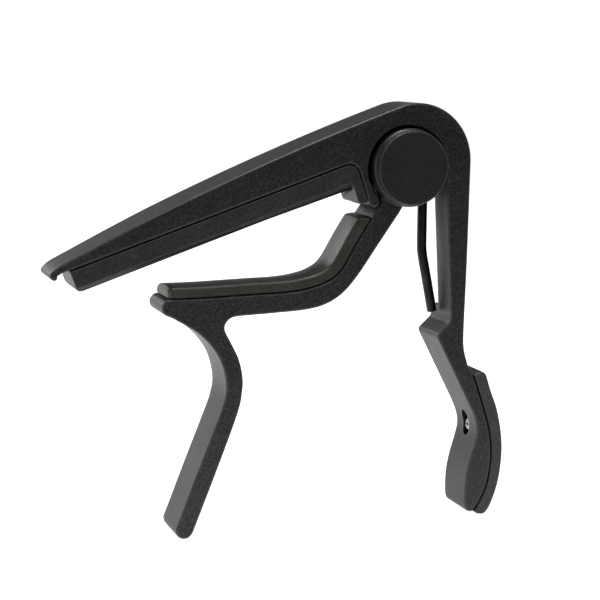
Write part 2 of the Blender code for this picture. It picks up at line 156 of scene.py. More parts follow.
def bow(p, q, rise, steps):
    """A shallow arc from p to q that rises to the left of the chord."""
    points = []
    dx = q[0] - p[0]
    dz = q[1] - p[1]
    span = math.hypot(dx, dz)
    for i in range(steps + 1):
        t = i / steps
        lift = 4.0 * rise * t * (1.0 - t) / span
        points.append((p[0] + dx * t - dz * lift, p[1] + dz * t + dx * lift))
    return points


def spline(knots, steps):
    """A smooth curve through every knot."""
    first = (2 * knots[0][0] - knots[1][0], 2 * knots[0][1] - knots[1][1])
    last = (2 * knots[-1][0] - knots[-2][0], 2 * knots[-1][1] - knots[-2][1])
    chain = [first] + list(knots) + [last]
    points = []
    for k in range(1, len(chain) - 2):
        a, b, c, d = chain[k - 1:k + 3]
        for i in range(steps):
            t = i / steps
            point = []
            for m in (0, 1):
                bend = 2 * a[m] - 5 * b[m] + 4 * c[m] - d[m]
                twist = 3 * b[m] - a[m] - 3 * c[m] + d[m]
                point.append(0.5 * (2 * b[m] + (c[m] - a[m]) * t + bend * t * t + twist * t ** 3))
            points.append(tuple(point))
    points.append(tuple(knots[-1]))
    return points


def shifted(path, distance):
    """The path moved sideways, to the left of its direction."""
    points = []
    for i, (x, z) in enumerate(path):
        ahead = path[min(i + 1, len(path) - 1)]
        behind = path[max(i - 1, 0)]
        dx = ahead[0] - behind[0]
        dz = ahead[1] - behind[1]
        size = math.hypot(dx, dz)
        points.append((x - dz / size * distance, z + dx / size * distance))
    return points


def at_length(path, distance):
    """The point a given distance along a path, and the direction to the left of it there."""
    for p, q in zip(path, path[1:]):
        step = math.dist(p, q)
        if distance <= step or q == path[-1]:
            t = distance / step
            point = (p[0] + (q[0] - p[0]) * t, p[1] + (q[1] - p[1]) * t)
            return point, ((p[1] - q[1]) / step, (q[0] - p[0]) / step)
        distance -= step


def rounding(distance, radius):
    """How far a rounded edge falls back at a distance from where it ends."""
    short = max(radius - distance, 0.0)
    return radius - math.sqrt(radius * radius - short * short)


def bar_point(along, drop):
    """A point measured from the bar corner: back along the bar, and square below it."""
    x = BAR_CORNER[0] - along * math.cos(BAR_ANGLE) + drop * math.sin(BAR_ANGLE)
    z = BAR_CORNER[1] - along * math.sin(BAR_ANGLE) - drop * math.cos(BAR_ANGLE)
    return (x, z)


def bar_corner(radius):
    """The rounded inside corner between the bar and the stop tab, from tab to bar."""
    cx, cz = bar_point(CORNER_R, CORNER_R)
    tilt = math.degrees(BAR_ANGLE)
    return arc(cx, cz, radius, tilt, tilt + 90.0, 14)


def grip_seam():
    """The line between the grip casting and its cover, from top to bottom."""
    return spline([(14.5, -40.5), (16.4, -45.8), (18.25, -51.7), (18.8, -56.6),
                   (18.2, -61.9), (16.7, -65.6), (15.2, -67.75)], 12)


def saddle_seam():
    """The line between the jaw and its neck pad, from the saddle tip up to the pivot."""
    return spline([(-46.4, -23.55), (-40.0, -23.5), (-30.0, -23.15), (-24.0, -22.95),
                   (-19.8, -22.4), (-16.2, -21.3), (-13.2, -19.1), (-10.0, -13.8),
                   (-7.5, -9.8), (-6.25, -7.95)], 10)


# Solids -----------------------------------------------------------------------------------

def place(name, mesh, finish=None):
    """Adds a mesh drawn about the pivot, in place in the row frame."""
    mesh.transform(Matrix.Translation(PIVOT))
    piece = bpy.data.objects.new(name, mesh)
    bpy.context.scene.collection.objects.link(piece)
    if finish is not None:
        mesh.materials.append(finish)
    return piece


def finish_mesh(work, name):
    """Closes a bmesh drawn in millimetres into a mesh in metres."""
    bmesh.ops.recalc_face_normals(work, faces=work.faces)
    bmesh.ops.scale(work, vec=(MM, MM, MM), verts=work.verts)
    mesh = bpy.data.meshes.new(name)
    work.to_mesh(mesh)
    work.free()
    return mesh


def loft(work, loops):
    """Skins closed loops of points in order and caps both ends."""
    rings = [[work.verts.new(point) for point in loop] for loop in loops]
    count = len(rings[0])
    for near, far in zip(rings, rings[1:]):
        for i in range(count):
            j = (i + 1) % count
            work.faces.new((near[i], near[j], far[j], far[i]))
    work.faces.new(rings[0])
    work.faces.new(rings[-1])
    return rings


def solid(name, loops, finish=None):
    """A solid skinned over closed loops of points."""
    work = bmesh.new()
    loft(work, loops)
    return place(name, finish_mesh(work, name), finish)


def inset(outline, distance):
    """A closed outline drawn in towards its inside."""
    area = sum(p[0] * q[1] - q[0] * p[1] for p, q in zip(outline, outline[1:] + outline[:1]))
    inward = math.copysign(distance, area)
    points = []
    for i, (x, z) in enumerate(outline):
        before = outline[i - 1]
        after = outline[(i + 1) % len(outline)]
        a = Vector((before[1] - z, x - before[0])).normalized()
        b = Vector((z - after[1], after[0] - x)).normalized()
        middle = (a + b).normalized()
        reach = inward / max(middle.dot(a), 0.6)
        points.append((x + middle.x * reach, z + middle.y * reach))
    return points


def prism(name, outline, near, far, finish=None, edge=0.0, segments=6):
    """An outline in x and z given depth, with both rims rounded."""
    outline = [p for p, q in zip(outline, outline[1:] + outline[:1]) if math.dist(p, q) > 1e-3]
    rims = [(0.0, 0.0)]
    if edge > 0.0:
        turns = [math.radians(90.0 * i / segments) for i in range(segments + 1)]
        rims = [(edge * (1.0 - math.sin(a)), edge * (1.0 - math.cos(a))) for a in turns]
    stations = [(near + y, drawn_in) for y, drawn_in in reversed(rims)]
    stations += [(far - y, drawn_in) for y, drawn_in in rims]
    work = bmesh.new()
    loft(work, [[(x, y, z) for x, z in inset(outline, drawn_in)] for y, drawn_in in stations])
    return place(name, finish_mesh(work, name), finish)


def along_x(name, section, stations, finish=None):
    """A section of depth and height on the screw's line, scaled and set at each station of x."""
    loops = []
    for x, scale in stations:
        loops.append([(x, SCREW_AT[0] + y * scale, SCREW_AT[1] + z * scale) for y, z in section])
    return solid(name, loops, finish)


def along_bar(name, section, start, end):
    """A section of depth and drop drawn out along the bar."""
    loops = []
    for along in (start, end):
        loop = []
        for y, drop in section:
            x, z = bar_point(along, drop)
            loop.append((x, y, z))
        loops.append(loop)
    return solid(name, loops)


def turned(name, profile, finish=None, steps=128):
    """A closed profile of radius and depth turned about the pivot axis."""
    work = bmesh.new()
    hollow = min(radius for radius, depth in profile) > 0.0
    rings = []
    for i in range(steps):
        turn = 2 * math.pi * i / steps
        ring = []
        for radius, depth in profile:
            ring.append(work.verts.new((radius * math.cos(turn), depth, radius * math.sin(turn))))
        rings.append(ring)
    count = len(profile)
    last = count if hollow else count - 1
    for i in range(steps):
        a = rings[i]
        b = rings[(i + 1) % steps]
        for k in range(last):
            m = (k + 1) % count
            work.faces.new((a[k], a[m], b[m], b[k]))
    if not hollow:
        bmesh.ops.remove_doubles(work, verts=work.verts, dist=1e-6)
    return place(name, finish_mesh(work, name), finish)


def drum(name, radius, near, far, steps=160):
    """A plain cylinder about the pivot axis."""
    return prism(name, circle(radius, steps), near, far)


def combine(body, tools):
    """Adds or cuts each tool solid in turn, then removes the tools."""
    for operation, tool in tools:
        step = body.modifiers.new(operation.lower(), "BOOLEAN")
        step.operation = operation
        step.solver = "EXACT"
        step.object = tool
    settle(body)
    for operation, tool in tools:
        bpy.data.objects.remove(tool, do_unlink=True)


def settle(body):
    """Applies an object's modifiers to its mesh."""
    bpy.context.view_layer.update()
    shaped = body.evaluated_get(bpy.context.evaluated_depsgraph_get())
    mesh = bpy.data.meshes.new_from_object(shaped)
    body.modifiers.clear()
    body.data = mesh
    mesh.name = body.name
    work = bmesh.new()
    work.from_mesh(mesh)
    bmesh.ops.remove_doubles(work, verts=work.verts, dist=1e-6)
    work.to_mesh(mesh)
    work.free()


def smooth(body, angle=30.0):
    """Shades round stretches smooth, with flat faces kept flat and corners crisp."""
    body.data.shade_smooth()
    body.data.set_sharp_from_angle(angle=math.radians(angle))
    even = body.modifiers.new("even_normals", "WEIGHTED_NORMAL")
    even.keep_sharp = True
    even.weight = 60
    settle(body)


def soften(body, width, angle=30.0, segments=3):
    """Rounds every edge sharper than an angle."""
    edges = body.modifiers.new("soft_edges", "BEVEL")
    edges.width = width * MM
    edges.segments = segments
    edges.limit_method = "ANGLE"
    edges.angle_limit = math.radians(angle)
    settle(body)


# Materials --------------------------------------------------------------------------------

class Nodes:
    """Builds a node tree step by step."""

    def __init__(self, tree):
        self.tree = tree

    def node(self, kind, **settings):
        made = self.tree.nodes.new(kind)
        for key, value in settings.items():
            setattr(made, key, value)
        return made

    def link(self, output, socket):
        self.tree.links.new(output, socket)

    def ramp(self, value, low, high, start=0.0, end=1.0):
        """A value between two limits, mapped to a new range and clamped."""
        made = self.node("ShaderNodeMapRange")
        made.inputs["From Min"].default_value = low
        made.inputs["From Max"].default_value = high
        made.inputs["To Min"].default_value = start
        made.inputs["To Max"].default_value = end
        self.link(value, made.inputs["Value"])
        return made.outputs["Result"]

    def math(self, operation, a, b):
        made = self.node("ShaderNodeMath", operation=operation)
        for socket, value in zip(made.inputs, (a, b)):
            if isinstance(value, (int, float)):
                socket.default_value = value
            else:
                self.link(value, socket)
        return made.outputs[0]

    def mix(self, share, a, b):
        """One colour over another, by share."""
        made = self.node("ShaderNodeMix", data_type="RGBA")
        self.link(share, made.inputs["Factor"])
        for socket, value in zip((made.inputs[6], made.inputs[7]), (a, b)):
            if isinstance(value, tuple):
                socket.default_value = (*value, 1.0)
            else:
                self.link(value, socket)
        return made.outputs[2]


class Finish(Nodes):
    """A material on the Principled shader, with its pattern built from noise in the row frame."""

    def __init__(self, name):
        self.material = bpy.data.materials.new(name)
        self.material.use_nodes = True
        super().__init__(self.material.node_tree)
        self.shader = self.tree.nodes["Principled BSDF"]
        self.place = self.tree.nodes.new("ShaderNodeTexCoord").outputs["Object"]

    def noise(self, grain, detail=2.0, rough=0.5, stretch=(1.0, 1.0, 1.0), source=None):
        """Noise whose grain is a size in millimetres."""
        spread = self.node("ShaderNodeMapping")
        spread.inputs["Scale"].default_value = stretch
        self.link(source or self.place, spread.inputs["Vector"])
        made = self.node("ShaderNodeTexNoise")
        made.inputs["Scale"].default_value = 1.0 / (grain * MM)
        made.inputs["Detail"].default_value = detail
        made.inputs["Roughness"].default_value = rough
        self.link(spread.outputs["Vector"], made.inputs["Vector"])
        return made.outputs["Fac"]

    def edges(self, radius):
        """Near 1 on outer edges, 0 on flat faces."""
        bevel = self.node("ShaderNodeBevel", samples=6)
        bevel.inputs["Radius"].default_value = radius * MM
        plain = self.node("ShaderNodeNewGeometry")
        dot = self.node("ShaderNodeVectorMath", operation="DOT_PRODUCT")
        self.link(bevel.outputs["Normal"], dot.inputs[0])
        self.link(plain.outputs["Normal"], dot.inputs[1])
        return self.ramp(dot.outputs["Value"], 0.998, 0.95)

    def bump(self, height, depth, strength=1.0, under=None):
        """Raises the surface by a height pattern, depth in millimetres."""
        made = self.node("ShaderNodeBump")
        made.inputs["Strength"].default_value = strength
        made.inputs["Distance"].default_value = depth * MM
        self.link(height, made.inputs["Height"])
        if under is not None:
            self.link(under, made.inputs["Normal"])
        self.link(made.outputs["Normal"], self.shader.inputs["Normal"])
        return made.outputs["Normal"]

    def colour(self, output):
        self.link(output, self.shader.inputs["Base Color"])

    def roughness(self, output):
        self.link(output, self.shader.inputs["Roughness"])

    def constant(self, **values):
        for key, value in values.items():
            self.shader.inputs[key.replace("_", " ")].default_value = value


def powder_coat(name, dark, light, rough):
    """Matt black powder coat: a fine orange peel, tiny flecks, and edges painted much lighter,
    partly rubbed wear and partly a painted rim highlight.
    """
    finish = Finish(name)
    fleck = finish.ramp(finish.noise(0.22, 2.0, 0.6), 0.44, 0.62)
    cloud = finish.noise(7.0, 3.0)
    shade = finish.math("MULTIPLY", fleck, finish.ramp(cloud, 0.3, 0.7, 0.75, 1.0))
    body = finish.mix(shade, dark, light)
    # Painted highlight: edges are painted up to seven times lighter, partly rubbed wear and partly
    # a painted highlight where light would catch the rims.
    lighter_edges = finish.math("MULTIPLY", finish.edges(0.35),
                       finish.ramp(finish.noise(1.6, 4.0, 0.6), 0.35, 0.65, 0.35, 0.9))
    finish.colour(finish.mix(lighter_edges, body, tuple(7.0 * c for c in light)))
    patchy = finish.ramp(cloud, 0.3, 0.7, rough - 0.03, rough + 0.04)
    finish.roughness(finish.math("SUBTRACT", patchy, finish.math("MULTIPLY", lighter_edges, 0.10)))
    peel = finish.noise(0.9, 2.0)
    grain = finish.noise(0.30, 2.0, 0.6)
    coarse = finish.bump(peel, 0.020)
    finish.bump(grain, 0.030, under=coarse)
    finish.constant(Specular_IOR_Level=0.36)
    return finish.material


def moulded_rubber(name, dark, light, rough, grain=0.30, dust=(0.15, 0.15, 0.145)):
    """Soft matt rubber with a fine moulded grain and dust held in it."""
    finish = Finish(name)
    cloud = finish.noise(3.5, 4.0, 0.6)
    fleck = finish.ramp(finish.noise(grain, 2.0, 0.6), 0.38, 0.68, 0.2, 1.0)
    body = finish.mix(finish.math("MULTIPLY", fleck, finish.ramp(cloud, 0.3, 0.7, 0.5, 1.0)),
                      dark, light)
    speck = finish.math("MULTIPLY", finish.ramp(finish.noise(0.35, 3.0, 0.65), 0.58, 0.78),
                        finish.ramp(finish.noise(9.0, 2.0), 0.35, 0.7, 0.1, 0.5))
    lighter_edges = finish.math("MULTIPLY", finish.edges(0.3), 0.3)
    finish.colour(finish.mix(finish.math("MAXIMUM", speck, lighter_edges), body, dust))
    finish.roughness(finish.ramp(cloud, 0.3, 0.7, rough - 0.05, rough + 0.06))
    fine = finish.bump(finish.noise(grain, 3.0, 0.6), 0.022)
    finish.bump(finish.noise(2.5, 2.0), 0.03, under=fine)
    finish.constant(Specular_IOR_Level=0.3)
    return finish.material


def silicone(name, dark, light):
    """Olive grey rubber with a soft shine, slightly wavy, with fine rubbed streaks."""
    finish = Finish(name)
    cloud = finish.noise(4.5, 4.0, 0.6)
    fleck = finish.ramp(finish.noise(0.3, 2.0, 0.6), 0.40, 0.70)
    body = finish.mix(finish.math("MULTIPLY", fleck, finish.ramp(cloud, 0.32, 0.68)), dark, light)
    streak = finish.ramp(finish.noise(0.5, 3.0, 0.6, (0.12, 1.0, 1.0)), 0.52, 0.75, 0.0, 0.3)
    finish.colour(finish.mix(streak, body, tuple(1.6 * c for c in light)))
    uneven = finish.ramp(finish.noise(2.2, 3.0), 0.3, 0.7, 0.40, 0.48)
    finish.roughness(finish.math("ADD", uneven, finish.math("MULTIPLY", streak, 0.25)))
    fine = finish.bump(finish.noise(0.32, 2.0), 0.012)
    finish.bump(finish.noise(3.2, 1.0), 0.02, under=fine)
    finish.constant(Specular_IOR_Level=0.4)
    return finish.material


def drawn_wire(name):
    """Black oiled spring wire, with faint lines drawn along it."""
    finish = Finish(name)
    round_it = finish.node("ShaderNodeUVMap", uv_map="wire").outputs["UV"]
    lines = finish.noise(16.0, 3.0, 0.6, (1.0, 0.02, 1.0), round_it)
    blotch = finish.noise(1.4, 4.0, 0.65)
    body = finish.mix(finish.ramp(blotch, 0.35, 0.7), (0.008, 0.008, 0.009), (0.022, 0.022, 0.024))
    patches = finish.noise(3.0, 2.0)
    rubbed = finish.ramp(finish.math("MULTIPLY", lines, patches), 0.26, 0.42, 0.0, 0.5)
    finish.colour(finish.mix(rubbed, body, (0.06, 0.06, 0.062)))
    finish.roughness(finish.ramp(blotch, 0.3, 0.7, 0.30, 0.44))
    finish.bump(lines, 0.01, 0.6)
    finish.constant(Metallic=0.55)
    return finish.material


def plated_steel(name, tint, rough, lathe=True):
    """Bright plated or turned steel with fine cutting marks."""
    finish = Finish(name)
    scratch = finish.noise(0.12, 3.0, 0.6, (1.0, 0.15, 1.0) if lathe else (1.0, 1.0, 0.2))
    haze = finish.noise(1.1, 3.0)
    finish.colour(finish.mix(finish.ramp(haze, 0.3, 0.75), tint, tuple(0.72 * c for c in tint)))
    finish.roughness(finish.ramp(scratch, 0.25, 0.75, rough - 0.06, rough + 0.10))
    finish.bump(scratch, 0.004, 0.7)
    finish.constant(Metallic=1.0)
    return finish.material


def nylon(name):
    """Natural nylon, slightly waxy."""
    finish = Finish(name)
    cloud = finish.noise(1.8, 3.0)
    finish.colour(finish.mix(finish.ramp(cloud, 0.3, 0.7), (0.62, 0.60, 0.53), (0.74, 0.72, 0.66)))
    finish.roughness(finish.ramp(cloud, 0.3, 0.7, 0.42, 0.52))
    finish.bump(finish.noise(0.2, 2.0), 0.006)
    return finish.material


# Pieces -----------------------------------------------------------------------------------

def dress(piece, body, node):
    """Puts a piece on its body in place of its CAD node, which it hides."""
    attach(piece, body)
    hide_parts(node)
    return piece


def step_in_back(mesh):
    """Thins the leg and grip from the back, with a short slope below the housing."""
    work = bmesh.new()
    work.from_mesh(mesh)
    high, low = [PIVOT.z + height * MM for height in LEG_TAPER]
    for height in (high, low):
        geometry = list(work.verts) + list(work.edges) + list(work.faces)
        bmesh.ops.bisect_plane(work, geom=geometry, dist=1e-7,
                               plane_co=(0.0, 0.0, height), plane_no=(0.0, 0.0, 1.0))
    fall = (FRAME_DEPTH[1] - LEG_BACK) * MM
    for vert in work.verts:
        if vert.co.y > 0.0:
            share = (high - vert.co.z) / (high - low)
            vert.co.y -= fall * min(max(share, 0.0), 1.0)
    work.to_mesh(mesh)
    work.free()


def make_frame(finish):
    """String bar, pivot housing, leg and grip in one casting."""
    hub_x, hub_z, hub_r = HUB
    pocket_x, pocket_z, pocket_r = POCKET
    tip = spline([(-66.5, -18.6), (-66.65, -19.25), (-67.1, -19.45), (-67.65, -19.2),
                  (-67.95, -18.6), (-67.6, -17.95), (-66.9, -17.3), (-66.0, -16.7)], 4)
    top = bow((-66.0, -16.7), (-2.07, 11.42), 1.1, 48)
    hub = arc(hub_x, hub_z, hub_r, 109.5, 0.0, 48)
    leg = spline([(12.55, -8.0), (12.45, -20.0), (12.25, -31.0), (12.4, -35.0), (13.3, -38.3)], 8)
    inner = spline([(14.7, -67.75), (13.9, -67.3), (13.5, -65.8), (13.5, -62.0),
                    (14.1, -58.3), (15.2, -54.4), (15.7, -51.9), (15.3, -49.4),
                    (14.1, -46.7), (11.9, -42.5)], 8)
    ledge = [(7.15, -33.5), (6.8, -32.85), (6.72, -32.45), (6.85, -32.05), (7.2, -31.65),
             (8.8, -30.2), (9.15, -29.8), (9.3, -29.3), (9.35, -28.6)]
    pocket = arc(pocket_x, pocket_z, pocket_r, 0.0, 222.0, 72)
    tab = arc(-6.95, -6.35, 1.05, 10.0, -160.0, 14)
    bar = [bar_point(BAR_LENGTH, 0.0)]
    outline = (tip + top[1:] + hub[1:] + leg + grip_seam() + inner + ledge + [(7.75, -4.0)]
               + pocket + tab + bar_corner(CORNER_R) + bar)
    casting = prism("frame_casting", outline, *FRAME_DEPTH, finish, RIM)
    step_in_back(casting.data)

    plate = prism("plate", arc(pocket_x, pocket_z, pocket_r + 0.6, -20.0, 212.0, 72)
                  + arc(0.0, 0.0, pocket_r - 0.15, 222.0, 330.0, 36), *PLATE)
    face = [(BOSS_R - BOSS_EDGE + BOSS_EDGE * math.sin(math.radians(a)),
             BOSS_FACE - BOSS_EDGE + BOSS_EDGE * math.cos(math.radians(a)))
            for a in (90, 60, 30, 0)]
    boss = turned("boss", [(0.0, PLATE[0] + 0.1), (BOSS_R, PLATE[0] + 0.1)] + face
                  + [(0.0, BOSS_FACE)])
    bore = drum("bore", BORE_R, 0.0, THROUGH)
    sink = drum("sink", SINK_R, BOSS_FACE - 0.75, THROUGH)
    channel = prism("channel", [(4.0, -6.0), (4.0, -27.4), (11.1, -27.4), (11.1, -6.0)],
                    0.4, THROUGH)
    half_width, half_height = SCREW_SLOT
    straight = half_height - half_width
    oval = (arc(0.0, SCREW_RISE + straight, half_width, 0.0, 180.0, 24)
            + arc(0.0, SCREW_RISE - straight, half_width, 180.0, 360.0, 24))
    recess = along_x("recess", oval, [(8.0, 1.0), (16.9, 1.0)])
    hole = along_x("hole", circle(SCREW_HOLE, 48), [(16.0, 1.0), (22.0, 1.0)])
    combine(casting, [("UNION", plate), ("UNION", boss),
                      ("DIFFERENCE", bore), ("DIFFERENCE", sink), ("DIFFERENCE", channel),
                      ("DIFFERENCE", recess), ("DIFFERENCE", hole)])
    smooth(casting)
    return dress(casting, "frame", "frame")


def jaw_leg():
    """Both ends of the short spring leg, which leaves the coil at a tangent."""
    angle = math.radians(COIL_TURN)
    depth = COIL_REAR - COIL_PITCH * COIL_TURN / 360.0
    start = Vector((COIL_R * math.cos(angle), depth, COIL_R * math.sin(angle)))
    along = Vector((-math.sin(angle), 0.0, math.cos(angle)))
    return start, start + along * JAW_LEG


def make_jaw(finish):
    """Saddle, finger lever and the two ears that turn on the pin."""
    root = [(-5.35, -6.6), (-5.2, -5.4), (-0.9, -5.4), (-1.1, -7.4)]
    outer = spline([(-1.75, -8.5), (-5.7, -14.2), (-9.75, -20.05), (-12.7, -23.35),
                    (-16.0, -25.35), (-20.1, -26.3), (-27.0, -26.75), (-33.0, -27.05),
                    (-34.6, -27.4), (-35.55, -28.35), (-35.7, -29.6), (-34.65, -31.7),
                    (-33.05, -34.9), (-32.25, -38.2), (-32.25, -41.0), (-33.15, -45.4),
                    (-37.35, -56.7), (-41.6, -67.45)], 9)
    tip = arc(-43.2, -66.85, 1.65, -24.0, -200.0, 24)
    inner = spline([(-44.0, -64.4), (-40.8, -56.1), (-37.5, -47.75), (-35.9, -43.4),
                    (-35.4, -39.9), (-36.3, -35.8), (-38.1, -32.7), (-40.8, -29.95),
                    (-45.2, -27.2), (-46.9, -26.4), (-47.55, -25.6), (-47.55, -24.6),
                    (-47.0, -23.85)], 9)
    casting = prism("jaw_casting", saddle_seam() + root + outer + tip + inner, *JAW_DEPTH,
                    finish, RIM)
    crotch = drum("crotch", CROTCH_R, EAR_FRONT, EAR_REAR[0])
    face = [(BOSS_R - EAR_EDGE + EAR_EDGE * math.sin(math.radians(a)),
             EAR_EDGE - BOSS_FACE - EAR_EDGE * math.cos(math.radians(a)))
            for a in range(90, -1, -10)]
    front_ear = turned("front_ear", [(0.0, EAR_FRONT - SKIM), (BOSS_R, EAR_FRONT - SKIM)] + face
                       + [(0.0, -BOSS_FACE)])
    rear_ear = drum("rear_ear", BOSS_R, EAR_REAR[0] + SKIM, EAR_REAR[1] - SKIM)
    bore = drum("bore", BORE_R, -THROUGH, THROUGH)
    sink = drum("sink", SINK_R, -THROUGH, 1.15 - BOSS_FACE)
    start, end = jaw_leg()
    along = (end - start).normalized()
    across = Vector((-along.z, 0.0, along.x)) * (WIRE_R + GAP)
    reach = end + along * 0.5
    corners = [reach + across, reach - across, start - across, start + across]
    notch = prism("notch", [(corner.x, corner.z) for corner in corners],
                  EAR_FRONT + 0.1, start.y + WIRE_R + GAP)
    combine(casting, [("DIFFERENCE", crotch), ("DIFFERENCE", notch),
                      ("UNION", front_ear), ("UNION", rear_ear),
                      ("DIFFERENCE", bore), ("DIFFERENCE", sink)])
    smooth(casting)
    return dress(casting, "jaw", "jaw")


def make_fret_pad(finish):
    """The strip under the bar, turned down along the stop tab, with soft edges all round."""
    far_end = [bar_point(FRET_END, GAP), bar_point(FRET_END, FRET_PAD - 1.0),
               bar_point(FRET_END - 0.3, FRET_PAD - 0.3), bar_point(FRET_END - 1.0, FRET_PAD)]
    inner = bar_point(FRET_PAD_TAB, FRET_PAD)
    foot = [bar_point(FRET_PAD_TAB, FRET_FOOT - 0.6), bar_point(FRET_PAD_TAB - 0.5, FRET_FOOT),
            bar_point(GAP, FRET_FOOT + 0.2)]
    near = FRAME_DEPTH[0] + SKIM
    far = FRAME_DEPTH[1] - SKIM
    pad = prism("fret_pad_rubber", bar_corner(CORNER_R - GAP) + far_end + [inner] + foot,
                near, far, finish)
    cutters = []
    for edge, side in ((near, -1.0), (far, 1.0)):
        section = [(edge - side * (FRET_CHAMFER + 0.5), FRET_PAD + 0.5),
                   (edge + side, FRET_PAD + 0.5),
                   (edge + side, FRET_PAD - FRET_CHAMFER - 1.0)]
        wedge = along_bar("wedge", section, FRET_PAD_TAB, BAR_LENGTH + 4.0)
        cutters.append(("DIFFERENCE", wedge))
    depth, thickness = FOOT_RELIEF
    relief = []
    for drop in (FRET_PAD, FRET_FOOT + 2.0):
        loop = []
        for along, y in ((FRET_PAD_TAB, far - depth), (FRET_PAD_TAB - thickness, far),
                         (FRET_PAD_TAB - thickness, far + 1.0), (FRET_PAD_TAB + 1.0, far + 1.0),
                         (FRET_PAD_TAB + 1.0, far - depth)):
            x, z = bar_point(along, drop)
            loop.append((x, y, z))
        relief.append(loop)
    cutters.append(("DIFFERENCE", solid("relief", relief)))
    combine(pad, cutters)
    soften(pad, 0.16, 25.0, 3)
    smooth(pad, 35.0)
    dress(pad, "frame", "fret_pad")
    return pad


def neck_section(drawn_in, drop):
    """Depth and height above the saddle of points round the neck pad."""
    near = JAW_DEPTH[0] + SKIM + drawn_in
    far = JAW_DEPTH[1] - SKIM - drawn_in
    top = NECK_PAD - drop
    near_r, far_r = [min(radius, top - fall - GAP - SKIM)
                     for radius, fall in zip(NECK_EDGE, NECK_FALL)]
    near_edge = arc(near + near_r, top - NECK_FALL[0] - near_r, near_r, 180.0, 90.0, 8)
    far_edge = arc(far - far_r, top - NECK_FALL[1] - far_r, far_r, 90.0, 0.0, 8)
    (near_y, near_z), (far_y, far_z) = near_edge[-1], far_edge[0]
    crown = []
    for i in range(1, 12):
        t = i / 12
        rise = 4.0 * t * (1.0 - t) * (top - (near_z + far_z) / 2)
        crown.append((near_y + (far_y - near_y) * t, near_z + (far_z - near_z) * t + rise))
    return [(far, GAP), (near, GAP)] + near_edge + crown + far_edge


def make_neck_pad(finish):
    """The cushion in the saddle, with round edges and corners and a level upper end."""
    seam = saddle_seam()
    span = sum(math.dist(p, q) for p, q in zip(seam, seam[1:])) - NECK_STOP
    ends = [NECK_CORNER * (1.0 - math.cos(math.radians(a))) for a in range(0, 91, 9)]
    stations = ends + [span - distance for distance in ends]
    for i in range(1, 90):
        stations.append(NECK_CORNER + (span - 2 * NECK_CORNER) * i / 90)
    loops = []
    for distance in sorted(stations):
        (x, z), (left_x, left_z) = at_length(seam, distance)
        to_end = span - distance
        level = max(1.0 - to_end / 2.5, 0.0)
        left_x += (-1.15 - left_x) * level
        left_z -= left_z * level
        nearest = min(distance, to_end)
        drawn_in = rounding(nearest, NECK_CORNER)
        drop = rounding(nearest, NECK_EDGE[0])
        loops.append([(x + left_x * rise, y, z + left_z * rise)
                      for y, rise in neck_section(drawn_in, drop)])
    pad = solid("neck_pad_rubber", loops, finish)
    smooth(pad, 50.0)
    dress(pad, "jaw", "neck_pad")
    return pad


def make_cover(finish):
    """The soft cover on the outside of the grip."""
    seam = shifted(grip_seam(), GAP)[:-1]
    outer = spline([(16.2, -68.25), (17.3, -68.45), (18.2, -68.05), (19.35, -66.2),
                    (20.65, -62.2), (21.25, -57.5), (21.1, -53.0), (20.0, -47.7),
                    (18.35, -43.4), (17.55, -41.0), (17.1, -40.2), (16.4, -39.75)], 8)
    cover = prism("grip_cover_rubber", seam + outer, FRAME_DEPTH[0] + 0.1, LEG_BACK - 0.1,
                  finish, 0.3)
    hole = along_x("hole", circle(SCREW_HOLE, 48), [(16.0, 1.0), (19.8, 1.0)])
    combine(cover, [("DIFFERENCE", hole)])
    smooth(cover)
    dress(cover, "frame", "grip_cover")
    return cover


def make_cover_screw(finish):
    """Cross-headed screw from the inside of the grip into its cover."""
    head = [(SCREW_HEAD_X - 0.6 * math.sin(math.radians(a)),
             SCREW_HEAD_R * math.cos(math.radians(a * 0.62))) for a in range(0, 91, 15)]
    stations = [(19.7, 0.8), (17.0, 0.8), (SCREW_HEAD_X + 0.01, SCREW_HEAD_R)] + head
    screw = along_x("screw", circle(1.0, 48), stations, finish)
    slots = []
    for half_y, half_z in ((0.17, 0.82), (0.82, 0.17)):
        bar = [(-half_y, -half_z), (half_y, -half_z), (half_y, half_z), (-half_y, half_z)]
        slots.append(("DIFFERENCE", along_x("slot", bar, [(15.0, 1.0), (16.35, 0.7)])))
    combine(screw, slots)
    smooth(screw)
    return dress(screw, "frame", "cover_screw")


def make_spring(finish):
    """Torsion spring: a long leg down to the frame, a coil, a short leg into the jaw."""
    leg = [Vector((8.05, 0.6, -28.5)), Vector((7.0, 0.9, -22.9)), Vector((6.03, 1.25, -17.8)),
           Vector((5.9, 1.4, -16.6)), Vector((5.86, 1.5, -15.4)), Vector((5.97, 1.95, -6.0))]
    path = []
    for p, q in zip(leg, leg[1:]):
        for i in range(6):
            path.append(p.lerp(q, i / 6))
    path.append(leg[-1])
    turns = 200
    for i in range(turns + 1):
        angle = math.radians(COIL_TURN * i / turns)
        depth = COIL_REAR - COIL_PITCH * COIL_TURN / 360.0 * i / turns
        path.append(Vector((COIL_R * math.cos(angle), depth, COIL_R * math.sin(angle))))
    start, end = jaw_leg()
    path += [start.lerp(end, i / 10) for i in range(1, 11)]
    for _ in range(3):
        path = ([path[0]] + [(a + 2 * b + c) / 4 for a, b, c in zip(path, path[1:], path[2:])]
                + [path[-1]])
    spring = wire("torsion_spring_wire", path, WIRE_R, finish, 24)
    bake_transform(spring)
    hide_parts("torsion_spring")
    return spring


